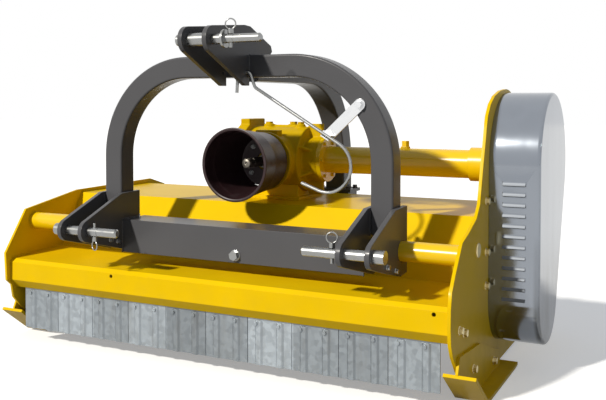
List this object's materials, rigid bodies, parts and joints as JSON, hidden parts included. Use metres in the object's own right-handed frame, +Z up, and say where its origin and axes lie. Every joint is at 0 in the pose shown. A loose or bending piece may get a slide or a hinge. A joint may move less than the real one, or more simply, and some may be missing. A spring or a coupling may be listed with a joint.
{
  "type": "tractor flail mower",
  "caption": "Tractor-mounted hammer flail mower with a sliding headstock, gearbox, belt drive, hinged front flaps, skids and rear roller.",
  "frame": {"origin": "on the ground under the middle of the bounding box", "axes": "+X to the belt drive's side along the working width, +Y to the rear roller, +Z up"},
  "size_m": [1.834, 1.195, 1.0945],
  "materials": {
    "yellow_paint": "satin",
    "grey_paint": "satin",
    "guard_paint": "satin",
    "zinc_plate": "zinc plated",
    "galvanised_sheet": "galvanised",
    "machined_steel": "machined",
    "black_plastic": "matte",
    "belt_rubber": "matte"
  },
  "bodies": {
    "chassis": {"hood": "yellow_paint", "left_side_plate": "yellow_paint", "right_side_plate": "yellow_paint", "guide_tube": "yellow_paint", "rear_rail": "zinc_plate", "gearbox_pedestal": "yellow_paint", "gearbox_housing": "yellow_paint", "output_tube": "yellow_paint", "shaft_guard_cone": "black_plastic", "belt_guard": "guard_paint", "drive_belts": "belt_rubber", "flap_rod": "machined_steel", "bearing_housings": "yellow_paint", "side_bolts": "zinc_plate", "skid_left": "yellow_paint", "skid_right": "yellow_paint"},
    "rotor": {"rotor_tube": "machined_steel", "rotor_pulley": "machined_steel"},
    "hammer_01": {"hammer_01": "machined_steel"},
    "hammer_02": {"hammer_02": "machined_steel"},
    "hammer_03": {"hammer_03": "machined_steel"},
    "hammer_04": {"hammer_04": "machined_steel"},
    "hammer_05": {"hammer_05": "machined_steel"},
    "hammer_06": {"hammer_06": "machined_steel"},
    "hammer_07": {"hammer_07": "machined_steel"},
    "hammer_08": {"hammer_08": "machined_steel"},
    "hammer_09": {"hammer_09": "machined_steel"},
    "hammer_10": {"hammer_10": "machined_steel"},
    "output_drive": {"half_shaft": "machined_steel", "upper_pulley": "machined_steel"},
    "input_drive": {"input_shaft": "machined_steel"},
    "headstock": {"arch_frame": "grey_paint", "cross_beam": "grey_paint", "rear_strut": "grey_paint", "strut_foot": "grey_paint", "hitch_plates_left": "grey_paint", "hitch_plates_right": "grey_paint", "top_bracket": "grey_paint", "beam_bolts": "zinc_plate", "hook_stay": "zinc_plate"},
    "shaft_hook": {"shaft_hook": "zinc_plate"},
    "lower_pin_left": {"lower_pin_left": "zinc_plate"},
    "lower_pin_right": {"lower_pin_right": "zinc_plate"},
    "top_pin": {"top_pin": "zinc_plate"},
    "linch_pin_left": {"linch_pin_left": "zinc_plate"},
    "linch_pin_right": {"linch_pin_right": "zinc_plate"},
    "linch_pin_top": {"linch_pin_top": "zinc_plate"},
    "flap_01": {"flap_01": "galvanised_sheet"},
    "flap_02": {"flap_02": "galvanised_sheet"},
    "flap_03": {"flap_03": "galvanised_sheet"},
    "flap_04": {"flap_04": "galvanised_sheet"},
    "flap_05": {"flap_05": "galvanised_sheet"},
    "flap_06": {"flap_06": "galvanised_sheet"},
    "flap_07": {"flap_07": "galvanised_sheet"},
    "flap_08": {"flap_08": "galvanised_sheet"},
    "flap_09": {"flap_09": "galvanised_sheet"},
    "flap_10": {"flap_10": "galvanised_sheet"},
    "roller_frame": {"roller_frame": "yellow_paint"},
    "roller": {"roller": "yellow_paint"}
  },
  "joints": [
    {"name": "rotor_spin", "type": "hinge", "parent": "chassis", "child": "rotor", "pos_m": [-0.049, 0.1025, 0.235], "axis": [1, 0, 0], "continuous": true},
    {"name": "hammer_01_swing", "type": "hinge", "parent": "rotor", "child": "hammer_01", "pos_m": [-0.715, -0.0025, 0.235], "axis": [1, 0, 0], "range_deg": [-100, 100]},
    {"name": "hammer_02_swing", "type": "hinge", "parent": "rotor", "child": "hammer_02", "pos_m": [-0.567, 0.2075, 0.235], "axis": [1, 0, 0], "range_deg": [-100, 100]},
    {"name": "hammer_03_swing", "type": "hinge", "parent": "rotor", "child": "hammer_03", "pos_m": [-0.419, 0.1025, 0.34], "axis": [1, 0, 0], "range_deg": [-100, 100]},
    {"name": "hammer_04_swing", "type": "hinge", "parent": "rotor", "child": "hammer_04", "pos_m": [-0.271, 0.1025, 0.13], "axis": [1, 0, 0], "range_deg": [-100, 100]},
    {"name": "hammer_05_swing", "type": "hinge", "parent": "rotor", "child": "hammer_05", "pos_m": [-0.123, -0.0025, 0.235], "axis": [1, 0, 0], "range_deg": [-100, 100]},
    {"name": "hammer_06_swing", "type": "hinge", "parent": "rotor", "child": "hammer_06", "pos_m": [0.025, 0.2075, 0.235], "axis": [1, 0, 0], "range_deg": [-100, 100]},
    {"name": "hammer_07_swing", "type": "hinge", "parent": "rotor", "child": "hammer_07", "pos_m": [0.173, 0.1025, 0.34], "axis": [1, 0, 0], "range_deg": [-100, 100]},
    {"name": "hammer_08_swing", "type": "hinge", "parent": "rotor", "child": "hammer_08", "pos_m": [0.321, 0.1025, 0.13], "axis": [1, 0, 0], "range_deg": [-100, 100]},
    {"name": "hammer_09_swing", "type": "hinge", "parent": "rotor", "child": "hammer_09", "pos_m": [0.469, -0.0025, 0.235], "axis": [1, 0, 0], "range_deg": [-100, 100]},
    {"name": "hammer_10_swing", "type": "hinge", "parent": "rotor", "child": "hammer_10", "pos_m": [0.617, 0.2075, 0.235], "axis": [1, 0, 0], "range_deg": [-100, 100]},
    {"name": "output_spin", "type": "hinge", "parent": "chassis", "child": "output_drive", "pos_m": [-0.049, 0.1575, 0.645], "axis": [1, 0, 0], "continuous": true},
    {"name": "input_spin", "type": "hinge", "parent": "chassis", "child": "input_drive", "pos_m": [-0.049, -0.0225, 0.645], "axis": [0, 1, 0], "continuous": true},
    {"name": "headstock_slide", "type": "slide", "parent": "chassis", "child": "headstock", "axis": [1, 0, 0], "range_m": [-0.25, 0.12]},
    {"name": "shaft_hook_swing", "type": "hinge", "parent": "headstock", "child": "shaft_hook", "pos_m": [0.075, -0.3695, 0.945], "axis": [1, 0, 0], "range_deg": [-80, 0]},
    {"name": "lower_pin_left_turn", "type": "hinge", "parent": "headstock", "child": "lower_pin_left", "pos_m": [-0.457, -0.5345, 0.44], "axis": [1, 0, 0], "continuous": true},
    {"name": "lower_pin_right_turn", "type": "hinge", "parent": "headstock", "child": "lower_pin_right", "pos_m": [0.523, -0.5345, 0.44], "axis": [1, 0, 0], "continuous": true},
    {"name": "top_pin_turn", "type": "hinge", "parent": "headstock", "child": "top_pin", "pos_m": [0.033, -0.5575, 1.036], "axis": [1, 0, 0], "continuous": true},
    {"name": "linch_pin_left_slide", "type": "slide", "parent": "lower_pin_left", "child": "linch_pin_left", "axis": [0, 0, -1], "range_m": [0, 0.045]},
    {"name": "linch_pin_right_slide", "type": "slide", "parent": "lower_pin_right", "child": "linch_pin_right", "axis": [0, 0, 1], "range_m": [0, 0.045]},
    {"name": "linch_pin_top_slide", "type": "slide", "parent": "top_pin", "child": "linch_pin_top", "axis": [0, 0, 1], "range_m": [0, 0.045]},
    {"name": "flap_01_swing", "type": "hinge", "parent": "chassis", "child": "flap_01", "pos_m": [-0.049, -0.3935, 0.222], "axis": [1, 0, 0], "range_deg": [0, 80]},
    {"name": "flap_02_swing", "type": "hinge", "parent": "chassis", "child": "flap_02", "pos_m": [-0.049, -0.3935, 0.222], "axis": [1, 0, 0], "range_deg": [0, 80]},
    {"name": "flap_03_swing", "type": "hinge", "parent": "chassis", "child": "flap_03", "pos_m": [-0.049, -0.3935, 0.222], "axis": [1, 0, 0], "range_deg": [0, 80]},
    {"name": "flap_04_swing", "type": "hinge", "parent": "chassis", "child": "flap_04", "pos_m": [-0.049, -0.3935, 0.222], "axis": [1, 0, 0], "range_deg": [0, 80]},
    {"name": "flap_05_swing", "type": "hinge", "parent": "chassis", "child": "flap_05", "pos_m": [-0.049, -0.3935, 0.222], "axis": [1, 0, 0], "range_deg": [0, 80]},
    {"name": "flap_06_swing", "type": "hinge", "parent": "chassis", "child": "flap_06", "pos_m": [-0.049, -0.3935, 0.222], "axis": [1, 0, 0], "range_deg": [0, 80]},
    {"name": "flap_07_swing", "type": "hinge", "parent": "chassis", "child": "flap_07", "pos_m": [-0.049, -0.3935, 0.222], "axis": [1, 0, 0], "range_deg": [0, 80]},
    {"name": "flap_08_swing", "type": "hinge", "parent": "chassis", "child": "flap_08", "pos_m": [-0.049, -0.3935, 0.222], "axis": [1, 0, 0], "range_deg": [0, 80]},
    {"name": "flap_09_swing", "type": "hinge", "parent": "chassis", "child": "flap_09", "pos_m": [-0.049, -0.3935, 0.222], "axis": [1, 0, 0], "range_deg": [0, 80]},
    {"name": "flap_10_swing", "type": "hinge", "parent": "chassis", "child": "flap_10", "pos_m": [-0.049, -0.3935, 0.222], "axis": [1, 0, 0], "range_deg": [0, 80]},
    {"name": "roller_frame_tilt", "type": "hinge", "parent": "chassis", "child": "roller_frame", "pos_m": [-0.049, 0.2525, 0.062], "axis": [1, 0, 0], "range_deg": [-6, 8]},
    {"name": "roller_spin", "type": "hinge", "parent": "roller_frame", "child": "roller", "pos_m": [-0.049, 0.5225, 0.075], "axis": [1, 0, 0], "continuous": true}
  ],
  "couplings": [
    {"joint": "output_spin", "follows": "rotor_spin", "ratio": 0.6667},
    {"joint": "input_spin", "follows": "rotor_spin", "ratio": 0.2222}
  ]
}
